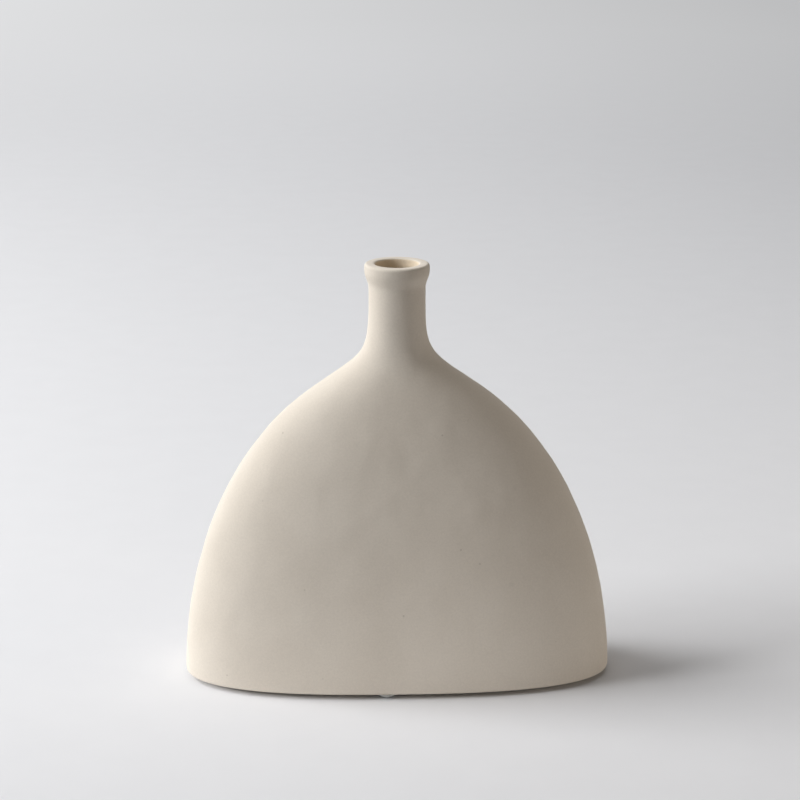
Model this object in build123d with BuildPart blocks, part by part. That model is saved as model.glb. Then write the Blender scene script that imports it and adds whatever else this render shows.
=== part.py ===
from build123d import *
from math import cos, hypot, pi, sin
import os

# A pillow vase: one slip-cast ceramic piece, wide and flattened, with a narrow round neck and a rolled
# lip, standing on four clear stick-on feet. Millimetres, +Z up, front towards -Y. The origin lies under
# the middle of the vase, on the surface that it stands on.

# Outside of the casting, from the base up
body_width = 200.0          # left to right, across the base
body_depth = 86.0           # front to back, across the base
flank_height = 136.0        # base to where the bulging flank turns into the sweep of the shoulder
shoulder_rise = 38.0        # from there to the start of the neck
shoulder_spread = 24.6      # how far the shoulder starts outside the neck, to the left and right
shoulder_side_spread = 7.4  # the same, to the front and back
neck_radius = 13.05
neck_length = 8.5           # straight stretch between shoulder and lip
lip_overhang = 1.9          # how far the lip stands out past the neck
lip_flare_height = 7.5      # height over which the neck opens out into the lip
lip_band_height = 3.5       # upright band at the lip's widest, before its top edge is rounded
lip_outer_rounding = 1.4
lip_inner_rounding = 1.0
lip_root_depth = 0.03       # the lip's flare starts this far under the neck's surface, so that the two cross
base_rounding = 1.0

# Handles of the two curves that draw each outline, and how square the base's plan is
flank_foot_share = 0.115      # of flank_height: how far up the wall leaves the base upright
flank_drop_share = 0.305      # of flank_height: how far below its top the flank takes on its final lean
flank_fullness_share = 0.95   # of the way out from shoulder to base, at that handle, seen from the front
flank_side_fullness_share = 0.70
shoulder_foot_share = 0.39    # of shoulder_rise: how far the lean of the flank carries on
shoulder_hang_share = 0.63    # of shoulder_rise: how far down the upright of the neck reaches
round_power = 2.0             # an oval of this power is an ellipse
base_power = 2.6              # the base is a little squarer than that

# Hollow of the casting
body_wall = 4.5
neck_wall = 3.05
floor_thickness = 6.0
floor_rounding = 8.0
foot_ring_width = 14.0      # flat ring that the feet are stuck to
recess_depth = 1.5          # the underside inside that ring lies this much higher

# Stick-on feet
bumper_diameter = 9.5
bumper_height = 2.05
bumper_rim_height = 0.4     # upright rim next to the adhesive
bumper_contact_diameter = 4.0
adhesive_diameter = 8.0
adhesive_thickness = 0.15
bumper_edge_margin = 0.1    # flat ring left between a foot's adhesive and the rounding of the base edge
front_bumper_shift = -6.0   # the front foot was stuck on a little to the left

# How finely the ovals and curves are drawn
oval_point_count = 32
flank_step_count = 8
shoulder_step_count = 8
neck_step_count = 3
closeness_share = 1e-9        # how closely a height is found on a curve

os.makedirs("parts", exist_ok=True)

half_width = body_width / 2
half_depth = body_depth / 2
bore_radius = neck_radius - neck_wall
lip_radius = neck_radius + lip_overhang
base_level = bumper_height + adhesive_thickness
neck_start = flank_height + shoulder_rise
neck_end = neck_start + neck_length
lip_level = neck_end + lip_flare_height
lip_top = lip_level + lip_band_height


def curve(stops, share):
    """The value of a cubic curve with these four stops, at a share of the way along it."""
    rest = 1 - share
    weights = (rest**3, 3 * rest**2 * share, 3 * rest * share**2, share**3)
    return sum(weight * stop for weight, stop in zip(weights, stops))


def growth(stops, share):
    """How fast that value grows there."""
    rest = 1 - share
    weights = (rest**2, 2 * rest * share, share**2)
    return 3 * sum(weight * (high - low) for weight, low, high in zip(weights, stops, stops[1:]))


def oval(across, deep, power):
    """Points of a closed curve, from an ellipse towards a rounded box as the power grows.

    They start at the back, where the curve is straightest, so that its two ends join without a bump.
    """
    points = []
    for step in range(oval_point_count):
        turn = pi / 2 + 2 * pi * step / oval_point_count
        reach = (abs(cos(turn)) ** power + abs(sin(turn)) ** power) ** (-1 / power)
        points.append((across * reach * cos(turn), deep * reach * sin(turn)))
    return points


def outline(half_size, spread, fullness_share):
    """Stops of one outline's flank and shoulder, as distances from the middle."""
    shoulder = neck_radius + spread
    reach = fullness_share * (half_size - shoulder)
    lean = reach / (flank_drop_share * flank_height)
    carried_on = shoulder - lean * shoulder_foot_share * shoulder_rise
    flank = (half_size, half_size, shoulder + reach, shoulder)
    return flank, (shoulder, carried_on, neck_radius, neck_radius)


# The heights are shared by the front and the side outline, so each height has one oval
flank_heights = (0, flank_foot_share * flank_height, (1 - flank_drop_share) * flank_height, flank_height)
shoulder_heights = (
    flank_height,
    flank_height + shoulder_foot_share * shoulder_rise,
    neck_start - shoulder_hang_share * shoulder_rise,
    neck_start,
)
flank_widths, shoulder_widths = outline(half_width, shoulder_spread, flank_fullness_share)
flank_depths, shoulder_depths = outline(half_depth, shoulder_side_spread, flank_side_fullness_share)
flank = (flank_heights, flank_widths, flank_depths)
shoulder = (shoulder_heights, shoulder_widths, shoulder_depths)


def section(stretch, share, wall):
    """Height, half width, half depth and power of the oval there, a wall's thickness inside the surface."""
    heights, widths, depths = stretch
    height = curve(heights, share)
    upward = growth(heights, share)
    power = base_power + (round_power - base_power) * height / neck_start
    across = curve(widths, share) - wall * hypot(1, growth(widths, share) / upward)
    deep = curve(depths, share) - wall * hypot(1, growth(depths, share) / upward)
    return height, across, deep, power


def share_at(heights, height):
    """The share of the way along a rising curve at which it reaches a height, by halving the way."""
    low, high = 0.0, 1.0
    while high - low > closeness_share:
        middle = (low + high) / 2
        if curve(heights, middle) < height:
            low = middle
        else:
            high = middle
    return low


def stretch_sections(stretch, first_share, step_count, wall):
    """Evenly spaced sections of a stretch, from a share of it to its end."""
    shares = [first_share + (1 - first_share) * step / step_count for step in range(step_count + 1)]
    return [section(stretch, share, wall) for share in shares]


# Outside of the casting: flank, shoulder and a neck that runs up into the lip
outer_sections = stretch_sections(flank, 0, flank_step_count, 0)
outer_sections += stretch_sections(shoulder, 0, shoulder_step_count, 0)[1:]
for step in range(1, neck_step_count + 1):
    height = neck_start + (lip_level - neck_start) * step / neck_step_count
    outer_sections.append((height, neck_radius, neck_radius, round_power))

# Hollow: the same outline a wall further in, from the floor up into the bore of the neck
floor_share = share_at(flank_heights, floor_thickness)
hollow_sections = stretch_sections(flank, floor_share, flank_step_count, body_wall)
hollow_sections += stretch_sections(shoulder, 0, shoulder_step_count, body_wall)[1:]

with BuildPart() as hollow:
    for height, across, deep, power in hollow_sections:
        with BuildSketch(Plane.XY.offset(base_level + height)):
            with BuildLine():
                Spline(*oval(across, deep, power), periodic=True)
            make_face()
    loft()
    fillet(hollow.faces().sort_by(Axis.Z)[0].edges(), floor_rounding)

with BuildPart() as vase_body:
    for height, across, deep, power in outer_sections:
        with BuildSketch(Plane.XY.offset(base_level + height)):
            with BuildLine():
                Spline(*oval(across, deep, power), periodic=True)
            make_face()
    loft()
    fillet(vase_body.faces().sort_by(Axis.Z)[0].edges(), base_rounding)
    # Rolled lip, turned on the wheel: an eased flare, a short upright band and a rounded top edge
    flare_root = (neck_radius - lip_root_depth, neck_end)
    flare_end = (lip_radius, lip_level)
    rounding_start = (lip_radius, lip_top - lip_outer_rounding)
    rounding_end = (lip_radius - lip_outer_rounding, lip_top)
    with BuildSketch(Plane((0, 0, base_level), x_dir=(1, 0, 0), z_dir=(0, -1, 0))):
        with BuildLine():
            Spline(flare_root, flare_end, tangents=((0, 1), (0, 1)))
            Line(flare_end, rounding_start)
            TangentArc(rounding_start, rounding_end, tangent=(0, 1))
            Polyline(rounding_end, (0, lip_top), (0, neck_end), flare_root)
        make_face()
    revolve(axis=Axis.Z)
    # Shallow recess in the underside, inside the ring that the feet are stuck to
    recess_half_width = half_width - foot_ring_width
    recess_half_depth = half_depth - foot_ring_width
    with BuildSketch(Plane.XY.offset(base_level)):
        with BuildLine():
            Spline(*oval(recess_half_width, recess_half_depth, base_power), periodic=True)
        make_face()
    extrude(amount=recess_depth, mode=Mode.SUBTRACT)
    add(hollow.part, mode=Mode.SUBTRACT)
    # Bore of the neck, from inside the shoulder out through the lip
    with BuildSketch(Plane.XY.offset(base_level + flank_height)):
        Circle(bore_radius)
    extrude(amount=lip_top - flank_height, mode=Mode.SUBTRACT)
    lip_face = vase_body.faces().filter_by(GeomType.PLANE).sort_by(Axis.Z)[-1]
    fillet(lip_face.edges().sort_by(SortBy.LENGTH)[0], lip_inner_rounding)

vase_body.part.label = "vase_body"
export_step(vase_body.part, "parts/vase_body.step")

# The feet stand on the flat ring, just inside the rounding of the base edge
bumper_inset = base_rounding + bumper_edge_margin + adhesive_diameter / 2
bumper_places = {
    "front": (front_bumper_shift, bumper_inset - half_depth),
    "back": (0, half_depth - bumper_inset),
    "left": (bumper_inset - half_width, 0),
    "right": (half_width - bumper_inset, 0),
}
rim_radius = bumper_diameter / 2
contact_radius = bumper_contact_diameter / 2
rim_level = bumper_height - bumper_rim_height
dome_middle = (rim_radius**2 - contact_radius**2 + rim_level**2) / (2 * rim_level)
dome_radius = hypot(contact_radius, dome_middle)

for side, (x, y) in bumper_places.items():
    # A low clear dome, upside down, pressed flat where it stands
    with BuildPart() as bumper:
        with BuildSketch(Plane((x, y, 0), x_dir=(1, 0, 0), z_dir=(0, -1, 0))):
            with BuildLine():
                Polyline(
                    (contact_radius, 0),
                    (0, 0),
                    (0, bumper_height),
                    (rim_radius, bumper_height),
                    (rim_radius, rim_level),
                )
                RadiusArc((rim_radius, rim_level), (contact_radius, 0), dome_radius)
            make_face()
        revolve(axis=Axis((x, y, 0), (0, 0, 1)))
    bumper.part.label = f"bumper_{side}"
    export_step(bumper.part, f"parts/bumper_{side}.step")

    # The pad of adhesive between that foot and the base
    with BuildPart() as adhesive:
        with BuildSketch(Plane((x, y, bumper_height))):
            Circle(adhesive_diameter / 2)
        extrude(amount=adhesive_thickness)
    adhesive.part.label = f"adhesive_{side}"
    export_step(adhesive.part, f"parts/adhesive_{side}.step")

# What a reader would measure on the finished piece
print(f"height {base_level + lip_top:.2f}, width {body_width:.2f}, depth {body_depth:.2f}")
print(f"bore {2 * bore_radius:.2f}, lip {2 * lip_radius:.2f}, base level {base_level:.2f}")
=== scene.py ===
# %% [markdown]
# # A pillow vase on clear stick-on feet
# The real object is one hollow piece of slip-cast clay: wide, flattened from front to back, with a narrow
# round neck and a rolled lip. It is fired but not glazed, so its skin is matte and slightly lumpy.
# The measured model is loaded first and is never changed. Every piece below is made in metres, in the same
# place, and stands for one of its parts. Working this way round keeps the sizes right whatever we do to the
# looks.

# %% Load the measured model
from math import acos, cos, degrees, hypot, radians, sin

import bpy
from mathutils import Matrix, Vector


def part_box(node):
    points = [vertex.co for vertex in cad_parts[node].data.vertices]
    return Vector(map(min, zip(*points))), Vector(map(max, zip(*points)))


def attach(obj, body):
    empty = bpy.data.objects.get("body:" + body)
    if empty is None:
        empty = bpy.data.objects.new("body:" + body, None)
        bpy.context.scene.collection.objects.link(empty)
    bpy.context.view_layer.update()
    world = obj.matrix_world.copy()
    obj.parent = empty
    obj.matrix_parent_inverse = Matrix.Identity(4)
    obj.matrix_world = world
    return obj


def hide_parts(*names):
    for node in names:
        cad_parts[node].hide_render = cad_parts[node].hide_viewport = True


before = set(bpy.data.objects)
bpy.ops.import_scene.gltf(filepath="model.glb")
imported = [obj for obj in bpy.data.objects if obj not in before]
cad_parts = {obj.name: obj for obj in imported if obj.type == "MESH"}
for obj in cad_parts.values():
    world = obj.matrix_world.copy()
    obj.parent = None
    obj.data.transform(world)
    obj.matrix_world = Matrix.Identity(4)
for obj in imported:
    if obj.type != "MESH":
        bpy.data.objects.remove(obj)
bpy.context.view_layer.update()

mm = 0.001
print("parts:", ", ".join(sorted(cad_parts)))

# %% [markdown]
# ## The camera
# The vase was photographed from a little above, with a long lens that hardly shows perspective. A camera
# could be pointed with a constraint, but a fixed place and tilt are easier to read and to adjust: the lens
# and the distance set how large the vase is, and the tilt sets how far the mouth opens into an oval.

# %% Place the camera
camera_data = bpy.data.cameras.new("camera")
camera_data.lens = 108.0
camera_data.sensor_width = 36.0
camera = bpy.data.objects.new("camera", camera_data)
camera.location = (-0.0360, -1.0697, 0.4232)
camera.rotation_euler = (radians(74.73), 0, radians(-2.0))
bpy.context.scene.collection.objects.link(camera)
bpy.context.scene.camera = camera
print("camera stands", round(camera.location.length, 3), "m from the foot of the vase")

# %% [markdown]
# ## The outline of the casting
# The flank leaves the base upright, bulges, and leans in towards the neck. The shoulder then sweeps from
# that lean into the upright neck. Each stretch is one cubic curve with four stops, drawn once as seen from
# the front and once as seen from the side. Tracing many points would also work, but four stops per stretch
# stay smooth and say what the shape does.

# %% Sizes of the casting, and the curves that draw it
body_low, body_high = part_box("vase_body")
half_width = body_high.x
half_depth = body_high.y
base_level = body_low.z
lip_top = body_high.z

flank_rise = 136.0 * mm
shoulder_rise = 38.0 * mm
shoulder_spread = 24.6 * mm
shoulder_side_spread = 7.4 * mm
neck_radius = 13.05 * mm
body_wall = 4.5 * mm
neck_start = flank_rise + shoulder_rise
upright_share = 0.115
lean_share = 0.695
carried_share = 0.39
neck_share = 0.63
flank_heights = (0, upright_share * flank_rise, lean_share * flank_rise, flank_rise)
shoulder_heights = (
    flank_rise,
    flank_rise + carried_share * shoulder_rise,
    neck_start - neck_share * shoulder_rise,
    neck_start,
)


def curve(stops, share):
    """The value of a cubic curve with these four stops, at a share of the way along it."""
    rest = 1 - share
    weights = (rest**3, 3 * rest**2 * share, 3 * rest * share**2, share**3)
    return sum(weight * stop for weight, stop in zip(weights, stops))


def growth(stops, share):
    """How fast that value grows there."""
    rest = 1 - share
    weights = (rest**2, 2 * rest * share, share**2)
    return 3 * sum(weight * (high - low) for weight, low, high in zip(weights, stops, stops[1:]))


def outline(half_size, spread, fullness):
    """Stops of the flank and of the shoulder, as distances from the middle."""
    shoulder = neck_radius + spread
    reach = fullness * (half_size - shoulder)
    lean = reach / (flank_rise - flank_heights[2])
    carried_on = shoulder - lean * (shoulder_heights[1] - flank_rise)
    flank_stops = (half_size, half_size, shoulder + reach, shoulder)
    shoulder_stops = (shoulder, carried_on, neck_radius, neck_radius)
    return flank_stops, shoulder_stops


front_fullness = 0.95
side_fullness = 0.70
flank_widths, shoulder_widths = outline(half_width, shoulder_spread, front_fullness)
flank_depths, shoulder_depths = outline(half_depth, shoulder_side_spread, side_fullness)
flank = (flank_heights, flank_widths, flank_depths)
shoulder = (shoulder_heights, shoulder_widths, shoulder_depths)
print("half width at the shoulder in mm:", round(flank_widths[3] / mm, 2))
print("half depth at the shoulder in mm:", round(flank_depths[3] / mm, 2))

# %% [markdown]
# ## Rings up the outside, over the lip and down the inside
# A wall of clay has an outside, a lip and an inside, and they are one surface. So the whole vase is written
# down as one walk of rings: out from the middle of the underside, up the flank, over the lip, down the bore
# and the inner wall, and in to the middle of the floor. Each ring has a height, a half width, a half depth
# and a squareness. At the base the plan is a little squarer than an ellipse, at the neck it is a circle.

# %% Helpers that write rings down
base_power = 2.6
round_power = 2.0


def squareness(rise):
    """Power of the oval at a rise above the base: 2 is an ellipse, more is squarer."""
    return base_power + (round_power - base_power) * min(rise / neck_start, 1)


def wall_ring(stretch, share, wall=0.0):
    """One ring of the flank or the shoulder, a wall's thickness inside the surface."""
    heights, widths, depths = stretch
    rise = curve(heights, share)
    upward = growth(heights, share)
    across = curve(widths, share) - wall * hypot(1, growth(widths, share) / upward)
    deep = curve(depths, share) - wall * hypot(1, growth(depths, share) / upward)
    return base_level + rise, across, deep, squareness(rise)


def corner_rings(height, across, deep, radius, first_turn, last_turn, steps, power):
    """Rings round a corner with its middle at a height and off the axis; turns are in degrees."""
    rings = []
    for step in range(steps + 1):
        turn = radians(first_turn + (last_turn - first_turn) * step / steps)
        out = radius * cos(turn)
        rings.append((height + radius * sin(turn), across + out, deep + out, power))
    return rings


def shares(first, last, steps):
    """Evenly spaced shares of the way along a curve."""
    return [first + (last - first) * step / steps for step in range(steps + 1)]


# %% Rings of the underside and the base edge
foot_ring_width = 14.0 * mm
recess_ceiling = base_level + 1.5 * mm
recess_rounding = 0.5 * mm
base_rounding = 1.0 * mm
recess_width = half_width - foot_ring_width
recess_depth = half_depth - foot_ring_width

underside = [
    (recess_ceiling, recess_width * share, recess_depth * share, base_power)
    for share in (0.1, 0.35, 0.6, 0.85)
]
underside += corner_rings(
    recess_ceiling - recess_rounding, recess_width - recess_rounding, recess_depth - recess_rounding,
    recess_rounding, 90, 0, 2, base_power,
)
underside += corner_rings(
    base_level + recess_rounding, recess_width + recess_rounding, recess_depth + recess_rounding,
    recess_rounding, 180, 270, 2, base_power,
)
middle_of_foot = foot_ring_width / 2
underside.append((base_level, half_width - middle_of_foot, half_depth - middle_of_foot, base_power))
underside += corner_rings(
    base_level + base_rounding, half_width - base_rounding, half_depth - base_rounding,
    base_rounding, 270, 345, 4, base_power,
)
print("rings of the underside:", len(underside))

# %% Rings of the outside, from the base edge to the neck
flank_start = 0.03
flank_steps = 38
shoulder_steps = 20
outside = [wall_ring(flank, share) for share in shares(flank_start, 1, flank_steps)]
outside += [wall_ring(shoulder, share) for share in shares(0, 1, shoulder_steps)[1:]]
print("rings of the outside:", len(outside))

# %% Rings of the neck, the lip and the bore
plain_neck = 8.5 * mm
neck_wall = 3.05 * mm
neck_end = base_level + neck_start + plain_neck
lip_overhang = 1.9 * mm
lip_flare_height = 7.5 * mm
lip_outer_rounding = 1.4 * mm
lip_inner_rounding = 1.0 * mm
lip_radius = neck_radius + lip_overhang
bore_radius = neck_radius - neck_wall


def round_ring(height, radius):
    """One ring that is a circle."""
    return height, radius, radius, round_power


neck_foot = outside[-1][0]
neck = [round_ring(neck_foot + (neck_end - neck_foot) * share, neck_radius) for share in (0.33, 0.67)]
for share in shares(0, 1, 8):
    eased = share**2 * (3 - 2 * share)
    neck.append(round_ring(neck_end + lip_flare_height * share, neck_radius + lip_overhang * eased))
lip_middle = lip_radius - lip_outer_rounding
neck += corner_rings(
    lip_top - lip_outer_rounding, lip_middle, lip_middle, lip_outer_rounding, 0, 90, 6, round_power
)
inner_middle = bore_radius + lip_inner_rounding
neck += corner_rings(
    lip_top - lip_inner_rounding, inner_middle, inner_middle, lip_inner_rounding, 90, 180, 4, round_power
)
print("rings of the neck and lip:", len(neck))

# %% Rings of the inside, from the bore down to the floor
floor_level = base_level + 6.0 * mm
floor_rounding = 8.0 * mm
bore_bottom = base_level + 153.9 * mm

bore_top = neck[-1][0]
inside = [
    round_ring(bore_top + (bore_bottom - bore_top) * share, bore_radius)
    for share in (0.15, 0.4, 0.7, 1)
]
inner_wall = [wall_ring(shoulder, share, body_wall) for share in shares(0.6, 0, 9)]
inner_wall += [wall_ring(flank, share, body_wall) for share in shares(0.97, 0.18, 16)]
inside += [ring for ring in inner_wall if ring[0] < bore_bottom and min(ring[1:3]) > bore_radius]
_, floor_width, floor_depth, floor_power = inside[-1]
inside += corner_rings(
    floor_level + floor_rounding, floor_width - floor_rounding, floor_depth - floor_rounding,
    floor_rounding, 0, -90, 5, floor_power,
)[1:]
_, floor_width, floor_depth, _ = inside[-1]
inside += [
    (floor_level, floor_width * share, floor_depth * share, floor_power)
    for share in (0.75, 0.45, 0.12)
]
vase_rings = underside + outside + neck + inside
print("rings of the whole walk:", len(vase_rings))

# %% [markdown]
# ## Turning a walk of rings into a surface
# By hand one would add a circle, extrude its edge, scale the new ring, and repeat. The helper below does
# just that. A spin would be quicker for a round pot, but this body is oval and its plan changes on the way
# up, so each ring is scaled on its own. When all the rings stand as ellipses, each is pushed out to its own
# squareness. Both ends of the walk are drawn together to a point, which closes the surface.

# %% Extrude a walk of rings


def walk_rings(name, rings, points):
    """A closed mesh object made by extruding and scaling one circle from ring to ring."""
    bpy.ops.object.select_all(action="DESELECT")
    height, across, deep, _ = rings[0]
    bpy.ops.mesh.primitive_circle_add(
        vertices=points, radius=across, fill_type="NOTHING", location=(0, 0, height)
    )
    piece = bpy.context.object
    piece.name = name
    piece.data.name = name
    bpy.ops.object.mode_set(mode="EDIT")
    bpy.ops.mesh.select_all(action="SELECT")
    bpy.ops.transform.resize(value=(1, deep / across, 1), center_override=(0, 0, height))
    for old, new in zip(rings, rings[1:]):
        bpy.ops.mesh.extrude_region_move(TRANSFORM_OT_translate={"value": (0, 0, new[0] - old[0])})
        bpy.ops.transform.resize(value=(new[1] / old[1], new[2] / old[2], 1), center_override=(0, 0, new[0]))
    bpy.ops.object.mode_set(mode="OBJECT")
    bpy.ops.object.transform_apply(location=True, rotation=False, scale=False)
    for place, (height, across, deep, power) in enumerate(rings):
        for vertex in piece.data.vertices[place * points:(place + 1) * points]:
            push = (abs(vertex.co.x / across) ** power + abs(vertex.co.y / deep) ** power) ** (-1 / power)
            vertex.co = (vertex.co.x * push, vertex.co.y * push, height)
    close_ends(piece)
    return piece


def close_ends(piece):
    """Draws each open end of a surface together to a point in its middle, and turns the faces outwards."""
    bpy.ops.object.mode_set(mode="EDIT")
    bpy.ops.mesh.select_all(action="SELECT")
    bpy.ops.mesh.fill_holes(sides=0)
    bpy.ops.mesh.select_all(action="DESELECT")
    bpy.ops.mesh.select_face_by_sides(number=4, type="GREATER")
    bpy.ops.mesh.poke()
    bpy.ops.mesh.select_all(action="SELECT")
    bpy.ops.mesh.normals_make_consistent(inside=False)
    bpy.ops.object.mode_set(mode="OBJECT")


ring_points = 144
vase = walk_rings("vase", vase_rings, ring_points)
print("vase as walked:", len(vase.data.vertices), "points,", len(vase.data.polygons), "faces")

# %% Mark the inside, which the finish reads later
# The inside is marked so that the finish can paint it darker and warmer, as painted shade.
first_inside_ring = len(underside) + len(outside) + len(neck) - 2
last_inside_ring = len(vase_rings)
painted_inside_shade = vase.data.attributes.new("painted_inside_shade_mask", "FLOAT", "POINT")
for point in range(first_inside_ring * ring_points, last_inside_ring * ring_points):
    painted_inside_shade.data[point].value = 1.0
print("rings marked as bare:", last_inside_ring - first_inside_ring)

# %% [markdown]
# ## The skin of the casting
# Slip leaves the mould almost smooth, and the maker wipes it with a sponge before firing. What remains is a
# skin that waves by a tenth of a millimetre or two, which shows wherever light rakes across it. A bump in
# the material could fake that, but a real displacement also follows in the outline and in any export. It is
# limited to the outside by a vertex group, which fades out towards the base edge and the lip, so the vase
# keeps its measured size.

# %% Mark the outside, then smooth and wave it
skin = vase.vertex_groups.new(name="skin")
first_skin_ring = len(underside)
lip_start = first_skin_ring + len(outside) + 2
ease_rings = 8
for ring in range(first_skin_ring, lip_start):
    weight = min(1, (ring - first_skin_ring) / ease_rings, (lip_start - ring) / ease_rings)
    skin.add(range(ring * ring_points, (ring + 1) * ring_points), weight, "ADD")


def apply_modifiers(piece):
    """Makes every modifier of a piece part of its mesh."""
    bpy.ops.object.select_all(action="DESELECT")
    piece.select_set(True)
    bpy.context.view_layer.objects.active = piece
    for name in [modifier.name for modifier in piece.modifiers]:
        bpy.ops.object.modifier_apply(modifier=name)


def add_smoothing(piece):
    """One round of subdivision, alike in the view and in the render."""
    smoothing = piece.modifiers.new("smoothing", "SUBSURF")
    smoothing.levels = 1
    smoothing.render_levels = 1


def add_waves(piece, name, size, height):
    """Waves of a size along the surface and a height across it, on the marked skin only."""
    clouds = bpy.data.textures.new(name, type="CLOUDS")
    clouds.noise_scale = size
    clouds.noise_depth = 1
    waves = piece.modifiers.new(name, "DISPLACE")
    waves.texture = clouds
    waves.texture_coords = "LOCAL"
    waves.direction = "NORMAL"
    waves.vertex_group = "skin"
    waves.strength = height
    waves.mid_level = 0.5


add_smoothing(vase)
add_waves(vase, "hand_waves", 18.0 * mm, 0.60 * mm)
add_waves(vase, "sponge_waves", 5.0 * mm, 0.10 * mm)
apply_modifiers(vase)
bpy.ops.object.shade_smooth()
print("vase with its skin:", len(vase.data.polygons), "faces")

# %% [markdown]
# ## Unglazed clay
# The clay is a warm off-white that is never quite even: cloudy where it dried at different speeds, with a
# fine grain, a few pinholes and dark specks, and some faint slanting marks from wiping. The inside is painted
# a little darker and warmer, as painted shade of the warm light that bounces round in the bore, and is found
# by the mark that was put on its rings. All of it is built from noise in the object's own space, so nothing
# stretches over the curves. The grain and the marks go into a bump, because they are far finer than any mesh
# we would want.

# %% Helpers for materials


class Finish:
    """A material under construction: adds nodes and joins them."""

    def __init__(self, name):
        self.material = bpy.data.materials.new(name)
        self.material.use_nodes = True
        self.tree = self.material.node_tree
        self.shader = self.tree.nodes["Principled BSDF"]
        self.place = self.add("ShaderNodeTexCoord").outputs["Object"]

    def add(self, kind, **settings):
        node = self.tree.nodes.new(kind)
        for name, value in settings.items():
            setattr(node, name, value)
        return node

    def join(self, source, target):
        self.tree.links.new(source, target)

    def noise(self, size, detail=2.0, roughness=0.5):
        """Cloudy noise with features of about a size in metres, around one half."""
        node = self.add("ShaderNodeTexNoise")
        node.inputs["Scale"].default_value = 1 / size
        node.inputs["Detail"].default_value = detail
        node.inputs["Roughness"].default_value = roughness
        self.join(self.place, node.inputs["Vector"])
        return node.outputs["Fac"]

    def turned(self, angle, squeeze):
        """The object's space, turned about its front-to-back axis and scaled along its first axis."""
        node = self.add("ShaderNodeMapping", vector_type="TEXTURE")
        node.inputs["Rotation"].default_value = (0, radians(angle), 0)
        node.inputs["Scale"].default_value = (1 / squeeze, 1, 1)
        self.join(self.place, node.inputs["Vector"])
        return node.outputs["Vector"]

    def dots(self, spacing, core, edge, share, strength, space=None):
        """Soft round dots in a share of the cells of a scattered pattern; core and edge are in cells."""
        node = self.add("ShaderNodeTexVoronoi")
        node.inputs["Scale"].default_value = 1 / spacing
        self.join(space or self.place, node.inputs["Vector"])
        dot = self.span(node.outputs["Distance"], core, edge, strength, 0.0)
        chance = self.add("ShaderNodeSeparateColor")
        self.join(node.outputs["Color"], chance.inputs["Color"])
        chosen = self.add("ShaderNodeMath", operation="LESS_THAN")
        chosen.inputs[1].default_value = share
        self.join(chance.outputs["Red"], chosen.inputs[0])
        return self.math("MULTIPLY", dot, chosen.outputs["Value"])

    def math(self, kind, first, second):
        """Two values worked together, such as multiplied."""
        node = self.add("ShaderNodeMath", operation=kind)
        self.join(first, node.inputs[0])
        self.join(second, node.inputs[1])
        return node.outputs["Value"]

    def ramp(self, source, stops):
        """Colours along a value; stops are (position, colour)."""
        node = self.add("ShaderNodeValToRGB")
        elements = node.color_ramp.elements
        while len(elements) < len(stops):
            elements.new(0.5)
        for element, (position, colour) in zip(elements, stops):
            element.position = position
            element.color = (*colour, 1.0)
        self.join(source, node.inputs["Fac"])
        return node.outputs["Color"]

    def span(self, source, low, high, to_low, to_high):
        """A value from one range carried over to another, and held at the ends."""
        node = self.add("ShaderNodeMapRange")
        node.clamp = True
        for socket, value in zip(("From Min", "From Max", "To Min", "To Max"), (low, high, to_low, to_high)):
            node.inputs[socket].default_value = value
        self.join(source, node.inputs["Value"])
        return node.outputs["Result"]

    def blend(self, kind, share, first, second):
        """Two colours mixed by a share, which is a value or a socket."""
        node = self.add("ShaderNodeMix", data_type="RGBA", blend_type=kind)
        for socket, source in ((node.inputs[0], share), (node.inputs[6], first), (node.inputs[7], second)):
            if isinstance(source, bpy.types.NodeSocket):
                self.join(source, socket)
            elif isinstance(source, tuple):
                socket.default_value = (*source, 1.0)
            else:
                socket.default_value = source
        return node.outputs[2]

    def bump(self, source, distance, strength, under=None):
        """A surface roughened by a value, on top of another bump if one is given."""
        node = self.add("ShaderNodeBump")
        node.inputs["Distance"].default_value = distance
        node.inputs["Strength"].default_value = strength
        self.join(source, node.inputs["Height"])
        if under is not None:
            self.join(under, node.inputs["Normal"])
        return node.outputs["Normal"]

    def set(self, **values):
        """Sets the shader's own sockets; a name's underscores stand for spaces."""
        for name, value in values.items():
            socket = self.shader.inputs[name.replace("_", " ")]
            if isinstance(value, bpy.types.NodeSocket):
                self.join(value, socket)
            else:
                socket.default_value = value


# %% Make the clay


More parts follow.
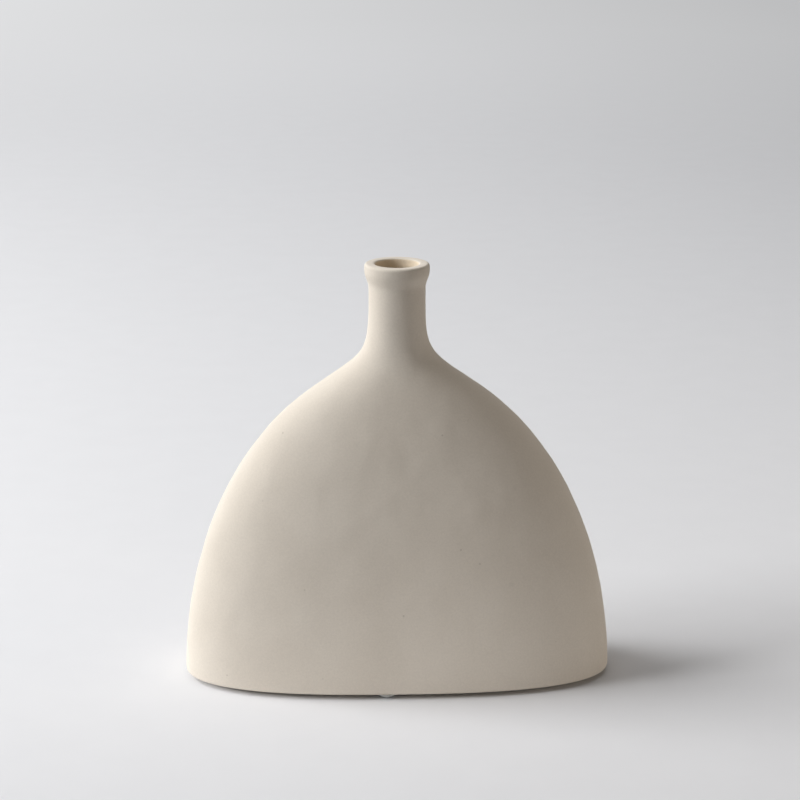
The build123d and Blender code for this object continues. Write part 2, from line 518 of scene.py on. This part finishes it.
def clay_finish():
    clay = Finish("unglazed_clay")
    cloudy = clay.noise(45.0 * mm, detail=3.0)
    slip = clay.ramp(cloudy, [(0.35, (0.755, 0.690, 0.603)), (0.65, (0.785, 0.722, 0.636))])
    # painted shade: the inside is coloured darker and warmer, standing in for the warm light that bounces
    # round inside the bore
    painted_inside_shade = clay.ramp(cloudy, [(0.35, (0.740, 0.640, 0.500)), (0.65, (0.770, 0.670, 0.530))])
    inside = clay.add("ShaderNodeAttribute", attribute_name="painted_inside_shade_mask")
    colour = clay.blend("MIX", inside.outputs["Fac"], slip, painted_inside_shade)
    grain = clay.noise(0.9 * mm, detail=3.0, roughness=0.65)
    grain_tint = clay.span(grain, 0.3, 0.7, 0.96, 1.03)
    colour = clay.blend("MULTIPLY", 1.0, colour, grain_tint)
    specks = clay.dots(9.0 * mm, 0.030, 0.070, 0.20, 0.38)
    colour = clay.blend("MIX", specks, colour, (0.38, 0.33, 0.27))
    blotches = clay.dots(24.0 * mm, 0.020, 0.075, 0.22, 0.12)
    colour = clay.blend("MIX", blotches, colour, (0.42, 0.38, 0.33))
    lumps = clay.noise(3.2 * mm, detail=2.0)
    soft = clay.bump(lumps, 0.10 * mm, 0.35)
    rising = clay.dots(11.0 * mm, 0.01, 0.05, 0.30, 1.0, clay.turned(-38.0, 0.22))
    falling = clay.dots(13.0 * mm, 0.01, 0.05, 0.25, 1.0, clay.turned(64.0, 0.20))
    marked = clay.bump(clay.math("ADD", rising, falling), 0.10 * mm, 0.6, soft)
    fine = clay.bump(grain, 0.05 * mm, 0.5, marked)
    rough = clay.span(cloudy, 0.3, 0.7, 0.80, 0.92)
    clay.set(Base_Color=colour, Roughness=rough, Normal=fine, Specular_IOR_Level=0.25, Diffuse_Roughness=0.4)
    return clay.material


def dress(piece, finish, slot, *nodes):
    """Gives a finished piece its material and its place in the measured model."""
    piece.data.materials.clear()
    piece.data.materials.append(finish)
    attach(piece, "root")
    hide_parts(*nodes)


dress(vase, clay_finish(), "bisque", "vase_body")
print("clay nodes:", len(vase.data.materials[0].node_tree.nodes))

# %% [markdown]
# ## Clear stick-on feet
# Each foot is a low dome of clear soft plastic, stuck on upside down, so that it stands on its crown. The
# weight of the vase presses that crown flat. One foot is walked ring by ring like the vase, in its own small
# size, and the other three are copies that are moved to their places inside their meshes.

# %% Model one foot
foot_low, foot_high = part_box("bumper_front")
foot_radius = (foot_high.x - foot_low.x) / 2
foot_top = foot_high.z
contact_radius = 2.0 * mm
rim_height = 0.4 * mm
rim_rounding = 0.15 * mm
rim_level = foot_top - rim_height
dome_middle = (foot_radius**2 - contact_radius**2 + rim_level**2) / (2 * rim_level)
dome_radius = hypot(contact_radius, dome_middle)
contact_turn = -degrees(acos(contact_radius / dome_radius))
rim_turn = -degrees(acos(foot_radius / dome_radius))

foot_rings = [round_ring(0, contact_radius * share) for share in (0.3, 0.7, 0.95)]
foot_rings += corner_rings(dome_middle, 0, 0, dome_radius, contact_turn, rim_turn, 9, round_power)
rim_middle = foot_radius - rim_rounding
foot_rings += corner_rings(
    foot_top - rim_rounding, rim_middle, rim_middle, rim_rounding, 0, 90, 2, round_power
)
foot_rings += [round_ring(foot_top, foot_radius * share) for share in (0.7, 0.3)]
foot_points = 48
first_foot = walk_rings("foot_front", foot_rings, foot_points)
add_smoothing(first_foot)
apply_modifiers(first_foot)
bpy.ops.object.shade_smooth()
print("one foot:", len(first_foot.data.polygons), "faces, dome radius", round(dome_radius / mm, 2), "mm")

# %% Make the clear plastic, and set the four feet in place


def clear_finish():
    clear = Finish("clear_soft_plastic")
    haze = clear.noise(1.5 * mm, detail=2.0)
    clear.set(
        Base_Color=clear.ramp(haze, [(0.3, (0.84, 0.86, 0.84)), (0.7, (0.92, 0.93, 0.91))]),
        Roughness=clear.span(haze, 0.3, 0.7, 0.08, 0.18),
        Normal=clear.bump(clear.noise(0.8 * mm), 0.03 * mm, 0.2),
        Transmission_Weight=0.35,
        IOR=1.49,
    )
    return clear.material


clear_plastic = clear_finish()
feet = {"front": first_foot}
for side in ("back", "left", "right"):
    foot = first_foot.copy()
    foot.data = first_foot.data.copy()
    foot.name = f"foot_{side}"
    foot.data.name = foot.name
    bpy.context.scene.collection.objects.link(foot)
    feet[side] = foot
for side, foot in feet.items():
    low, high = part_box(f"bumper_{side}")
    middle = (low + high) / 2
    bpy.ops.object.select_all(action="DESELECT")
    foot.select_set(True)
    bpy.context.view_layer.objects.active = foot
    bpy.ops.transform.translate(value=(middle.x, middle.y, 0))
    bpy.ops.object.transform_apply(location=True, rotation=False, scale=False)
    dress(foot, clear_plastic, "clear_bumper", f"bumper_{side}")
corners = {side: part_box(f"bumper_{side}")[0] for side in feet}
for side, corner in corners.items():
    print("foot at the", side, "starts at", [round(value / mm, 1) for value in corner], "mm")

# %% [markdown]
# ## The adhesive pads
# Between each foot and the clay lies a thin round pad of clear adhesive. Its shape in the measured model is
# already right, so that part stays, and only its finish is made here: slightly milky, with the tiny bubbles
# that are trapped when it is pressed on.

# %% Finish the adhesive pads


def adhesive_finish():
    pad = Finish("clear_adhesive")
    bubbles = pad.add("ShaderNodeTexVoronoi")
    bubbles.inputs["Scale"].default_value = 1 / (0.9 * mm)
    pad.join(pad.place, bubbles.inputs["Vector"])
    bubble = pad.span(bubbles.outputs["Distance"], 0.15, 0.3, 0.0, 1.0)
    pad.set(
        Base_Color=pad.ramp(bubble, [(0.0, (0.92, 0.92, 0.90)), (1.0, (0.80, 0.80, 0.76))]),
        Roughness=pad.span(bubble, 0.0, 1.0, 0.25, 0.45),
        Transmission_Weight=0.7,
        IOR=1.47,
    )
    return pad.material


adhesive = adhesive_finish()
pads = [node for name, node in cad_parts.items() if name.startswith("adhesive_")]
for pad in pads:
    pad.data.materials.clear()
    pad.data.materials.append(adhesive)
print("pads finished:", len(pads))

# %% [markdown]
# ## Floor
# The vase stands on a plain pale surface that runs on behind it without an edge. One large plane does that
# for every view, and it keeps the soft shadow of the vase. Its colour makes it pale, and towards the front it
# is painted a little darker, as painted shade. The Light Path node tells what we see of the floor from the
# light that it throws back. Thrown back, the floor counts as brighter close to the vase and darker far out
# and at the left, or it would light the vase too strongly from below. Seen from far off, the floor glows with
# painted light instead of being lit, because the lamps reach only the middle of it: brighter at the left,
# where the window stands, and dimmer at the right.

# %% Lay the floor
bpy.ops.object.select_all(action="DESELECT")
floor_size = 14.0
floor_gap = 0.05 * mm
bpy.ops.mesh.primitive_plane_add(size=floor_size, location=(0, 0, -floor_gap))
floor = bpy.context.object
floor.name = "floor"
print("floor laid:", floor.dimensions[0], "m wide")

# %% Colour the floor
paper = Finish("pale_paper")
paper_clouds = paper.noise(25.0 * mm, detail=3.0)
pale = paper.ramp(paper_clouds, [(0.35, (0.793, 0.797, 0.817)), (0.65, (0.801, 0.805, 0.825))])
sides = paper.add("ShaderNodeSeparateXYZ")
paper.join(paper.place, sides.inputs["Vector"])
# painted shade: the floor's colour is made darker towards the front
painted_front_shade = paper.span(sides.outputs["Y"], -0.16, 0.05, 0.92, 1.0)
pale = paper.blend("MULTIPLY", 1.0, pale, painted_front_shade)
away = paper.add("ShaderNodeVectorMath", operation="LENGTH")
paper.join(paper.place, away.inputs[0])
near = paper.span(away.outputs["Value"], 0.12, 0.60, 1.22, 0.25)
not_left = paper.span(sides.outputs["X"], -0.22, -0.06, 0.40, 1.0)
bounce = paper.math("MULTIPLY", near, not_left)
light_path = paper.add("ShaderNodeLightPath")
seen = paper.math("MAXIMUM", light_path.outputs["Is Camera Ray"], light_path.outputs["Is Transmission Ray"])
seen = paper.math("MAXIMUM", seen, light_path.outputs["Is Glossy Ray"])
dimmed = paper.blend("MULTIPLY", 1.0, pale, bounce)
lit = paper.blend("MIX", seen, dimmed, pale)
reach = paper.add("ShaderNodeVectorMath", operation="LENGTH")
paper.join(paper.turned(0.0, 1.8), reach.inputs[0])
far = paper.math("MULTIPLY", seen, paper.span(reach.outputs["Value"], 1.6, 2.8, 0.0, 1.0))
# painted light: far off the floor glows instead of being lit, brighter at the left and dimmer at the right
# like light falling off from the window
painted_far_glow = paper.span(sides.outputs["X"], -0.75, 0.75, 0.76, 0.50)
paper.set(
    Base_Color=paper.blend("MIX", far, lit, (0.0, 0.0, 0.0)),
    Emission_Color=(0.98, 0.985, 1.0, 1.0),
    Emission_Strength=paper.math("MULTIPLY", far, painted_far_glow),
    Roughness=0.9,
    Specular_IOR_Level=0.1,
)
floor.data.materials.append(paper.material)
print("floor nodes:", len(paper.tree.nodes))

# %% [markdown]
# ## Soft studio light
# A tall window of light stands far to the left, with two smaller lamps beside it, one further back and one
# low at the front. Together they make the long fall from bright to shade across the vase. A weak ceiling
# light softens the shadow, one lamp lights the floor far behind, and a small warm card at the right keeps the
# shaded edge from going flat. All are area lights, because a large lamp gives a wide soft edge to the shadow.
# The rest is a dim fill from the room.

# %% Set up the lamps


def soft_lamp(name, place, width, power, aim=(0, 0, 0.1), spread=180, tint=(1, 1, 1)):
    """A square area light at a place, turned towards a point; its spread is in degrees."""
    data = bpy.data.lights.new(name, "AREA")
    data.size = width
    data.energy = power
    data.color = tint
    data.spread = radians(spread)
    lamp = bpy.data.objects.new(name, data)
    lamp.location = place
    lamp.rotation_euler = (Vector(aim) - Vector(place)).to_track_quat("-Z", "Y").to_euler()
    lamp.visible_camera = False
    bpy.context.scene.collection.objects.link(lamp)


soft_lamp("tall_window", (-2.6, 0.2, 1.6), 1.8, 56.0)
soft_lamp("back_left", (-1.6, 0.5, 1.9), 1.2, 21.5)
soft_lamp("front_left", (-1.5, -0.5, 0.7), 0.45, 12.3)
soft_lamp("ceiling", (0.0, 0.3, 2.2), 2.0, 9.7)
soft_lamp("far_floor", (-0.35, 2.9, 2.2), 1.2, 12.2, aim=(-0.35, 2.9, 0.0), spread=110)
soft_lamp("right_card", (1.0, -0.3, 0.3), 0.4, 1.8, aim=(0, 0, 0.06), tint=(1.0, 0.86, 0.70))
print("lamps:", [light.name for light in bpy.data.lights])

# %% Set up the room
world = bpy.data.worlds.new("room")
world.use_nodes = True
room = world.node_tree
seen_strength = 0.7
fill_strength = 0.045
room_path = room.nodes.new("ShaderNodeLightPath")
seen_or_through = room.nodes.new("ShaderNodeMath")
seen_or_through.operation = "MAXIMUM"
room.links.new(room_path.outputs["Is Camera Ray"], seen_or_through.inputs[0])
room.links.new(room_path.outputs["Is Transmission Ray"], seen_or_through.inputs[1])
seen_or_mirrored = room.nodes.new("ShaderNodeMath")
seen_or_mirrored.operation = "MAXIMUM"
room.links.new(seen_or_through.outputs["Value"], seen_or_mirrored.inputs[0])
room.links.new(room_path.outputs["Is Glossy Ray"], seen_or_mirrored.inputs[1])
strength = room.nodes.new("ShaderNodeMapRange")
strength.inputs["To Min"].default_value = fill_strength
strength.inputs["To Max"].default_value = seen_strength
room.links.new(seen_or_mirrored.outputs["Value"], strength.inputs["Value"])
room.links.new(strength.outputs["Result"], room.nodes["Background"].inputs["Strength"])
room.nodes["Background"].inputs["Color"].default_value = (1.0, 1.0, 1.0, 1.0)
bpy.context.scene.world = world
bpy.context.scene.view_settings.view_transform = "Standard"
print("room fill:", fill_strength)
